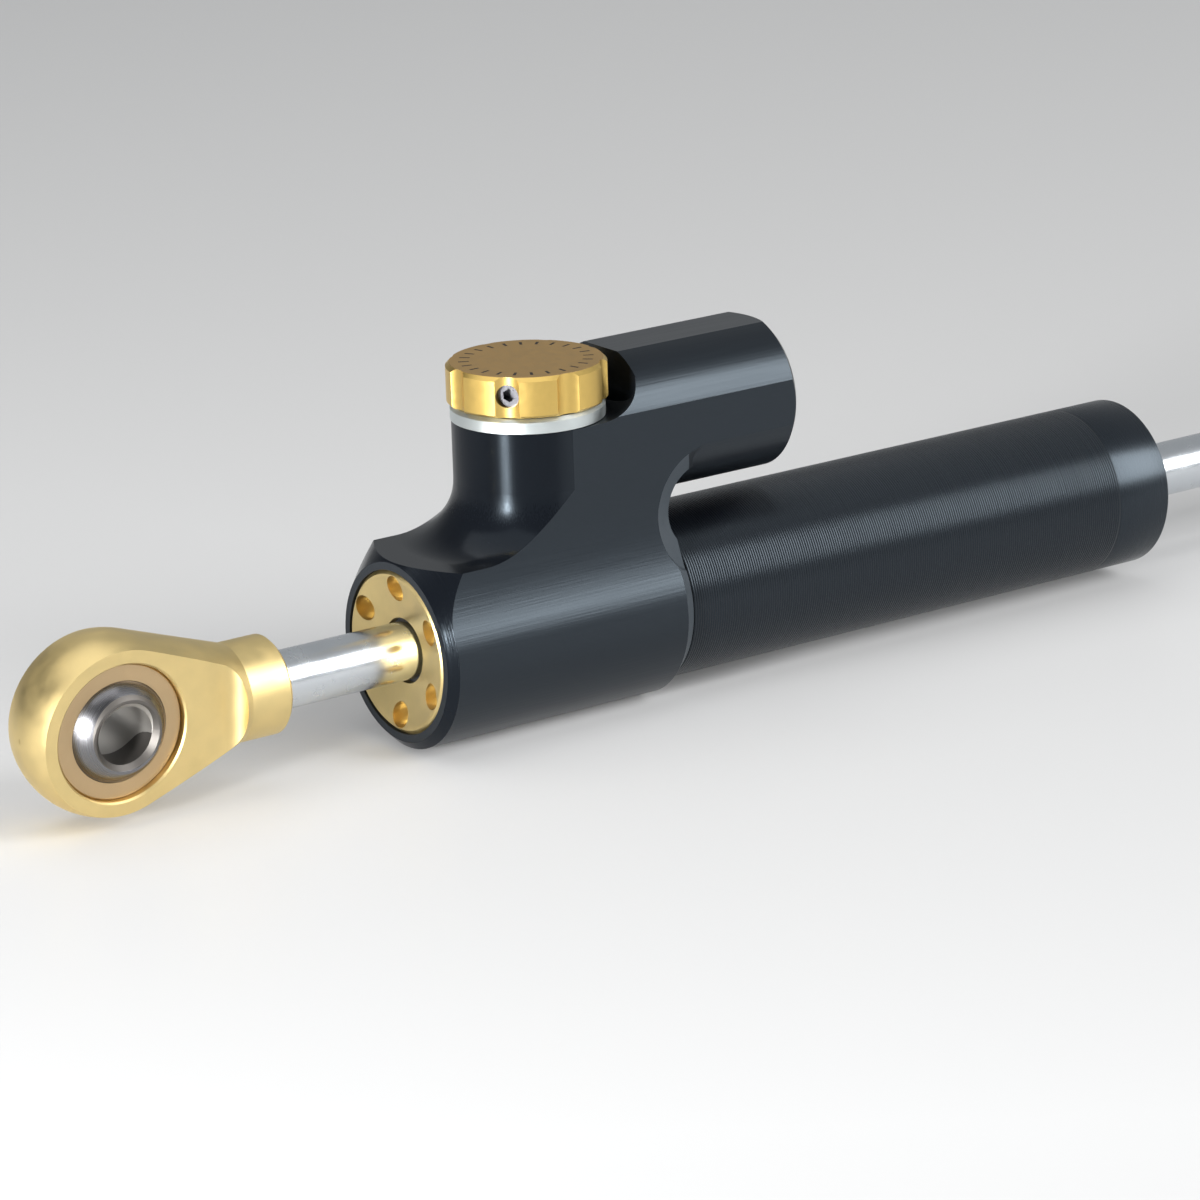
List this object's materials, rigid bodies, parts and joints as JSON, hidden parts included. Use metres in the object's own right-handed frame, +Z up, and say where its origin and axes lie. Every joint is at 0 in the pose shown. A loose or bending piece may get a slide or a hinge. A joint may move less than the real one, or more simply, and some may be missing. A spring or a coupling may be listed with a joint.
{
  "type": "motorcycle steering damper",
  "caption": "Linear motorcycle steering damper: through rod with a spherical rod end, valve tower with a click adjuster knob, side reservoir and a clampable tube.",
  "frame": {"origin": "on the rod axis, in the middle of the tube's clamp seat", "axes": "+X along the rod from the rod end to the free rear end, +Z up along the valve tower"},
  "size_m": [0.3051, 0.034, 0.0631],
  "materials": {
    "black_anodised": "satin black anodised",
    "gold_anodised": "satin gold anodised",
    "satin_silver": "satin natural anodised",
    "bare_aluminium": "turned",
    "chrome_rod": "hard chromed and polished",
    "polished_steel": "polished",
    "steel": "ground",
    "black_steel": "blackened",
    "bronze": "turned",
    "filled_ptfe": "moulded",
    "seal_rubber": "moulded"
  },
  "bodies": {
    "body": {"housing": "black_anodised", "main_tube": "black_anodised", "cylinder_sleeve": "steel", "front_cap": "gold_anodised", "front_wiper": "seal_rubber", "front_rod_seal": "seal_rubber", "front_rod_guide": "bare_aluminium", "front_guide_bush": "bronze", "front_guide_oring": "seal_rubber", "tube_oring": "seal_rubber", "rear_gland": "black_anodised", "rear_guide_bush": "bronze", "rear_rod_seal": "seal_rubber", "rear_wiper": "seal_rubber", "rear_gland_oring": "seal_rubber", "rear_circlip": "steel", "valve_body": "satin_silver", "valve_body_oring": "seal_rubber", "needle_guide": "bronze", "reservoir_lid": "black_anodised", "reservoir_lid_oring": "seal_rubber", "reservoir_circlip": "steel", "gas_screw": "black_steel"},
    "piston_unit": {"piston": "bare_aluminium", "piston_ring": "filled_ptfe"},
    "rod_unit": {"rod": "chrome_rod", "piston_circlips": "steel", "rod_end_eye": "gold_anodised", "bearing_race": "bronze"},
    "ball": {"bearing_ball": "polished_steel"},
    "knob_unit": {"adjuster_knob": "gold_anodised", "knob_grub_screw": "black_steel", "spindle": "steel", "spindle_oring": "seal_rubber", "click_spring": "steel"},
    "click_ball_unit": {"click_ball": "polished_steel"},
    "needle": {"metering_needle": "steel"},
    "reservoir_float": {"reservoir_piston": "bare_aluminium", "reservoir_piston_oring": "seal_rubber"}
  },
  "joints": [
    {"name": "rod_slide", "type": "slide", "parent": "body", "child": "piston_unit", "axis": [1, 0, 0], "range_m": [-0.066, 0.024]},
    {"name": "rod_turn", "type": "hinge", "parent": "piston_unit", "child": "rod_unit", "pos_m": [0, 0, 0], "axis": [1, 0, 0], "continuous": true},
    {"name": "ball_swivel", "type": "hinge", "parent": "rod_unit", "child": "ball", "pos_m": [-0.16273, 0, 0], "axis": [0, 0.9962, 0.0872], "continuous": true},
    {"name": "knob_turn", "type": "hinge", "parent": "body", "child": "knob_unit", "pos_m": [-0.07712, 0, 0], "axis": [0, 0, 1], "range_deg": [-216, 216]},
    {"name": "needle_slide", "type": "slide", "parent": "body", "child": "needle", "axis": [0, 0, 1], "range_m": [-0.0006, 0.0006]},
    {"name": "click_lift", "type": "slide", "parent": "knob_unit", "child": "click_ball_unit", "axis": [0, 0, 1], "range_m": [0, 0.0005], "stiffness_N_per_m": 800, "springref_m": -0.0015, "deforming": ["click_spring"]},
    {"name": "float_slide", "type": "slide", "parent": "body", "child": "reservoir_float", "axis": [1, 0, 0], "range_m": [-0.0042, 0.0044], "stiffness_N_per_m": 2000}
  ],
  "couplings": [
    {"joint": "knob_turn", "follows": "needle_slide", "rad_per_m": 6283.2}
  ]
}
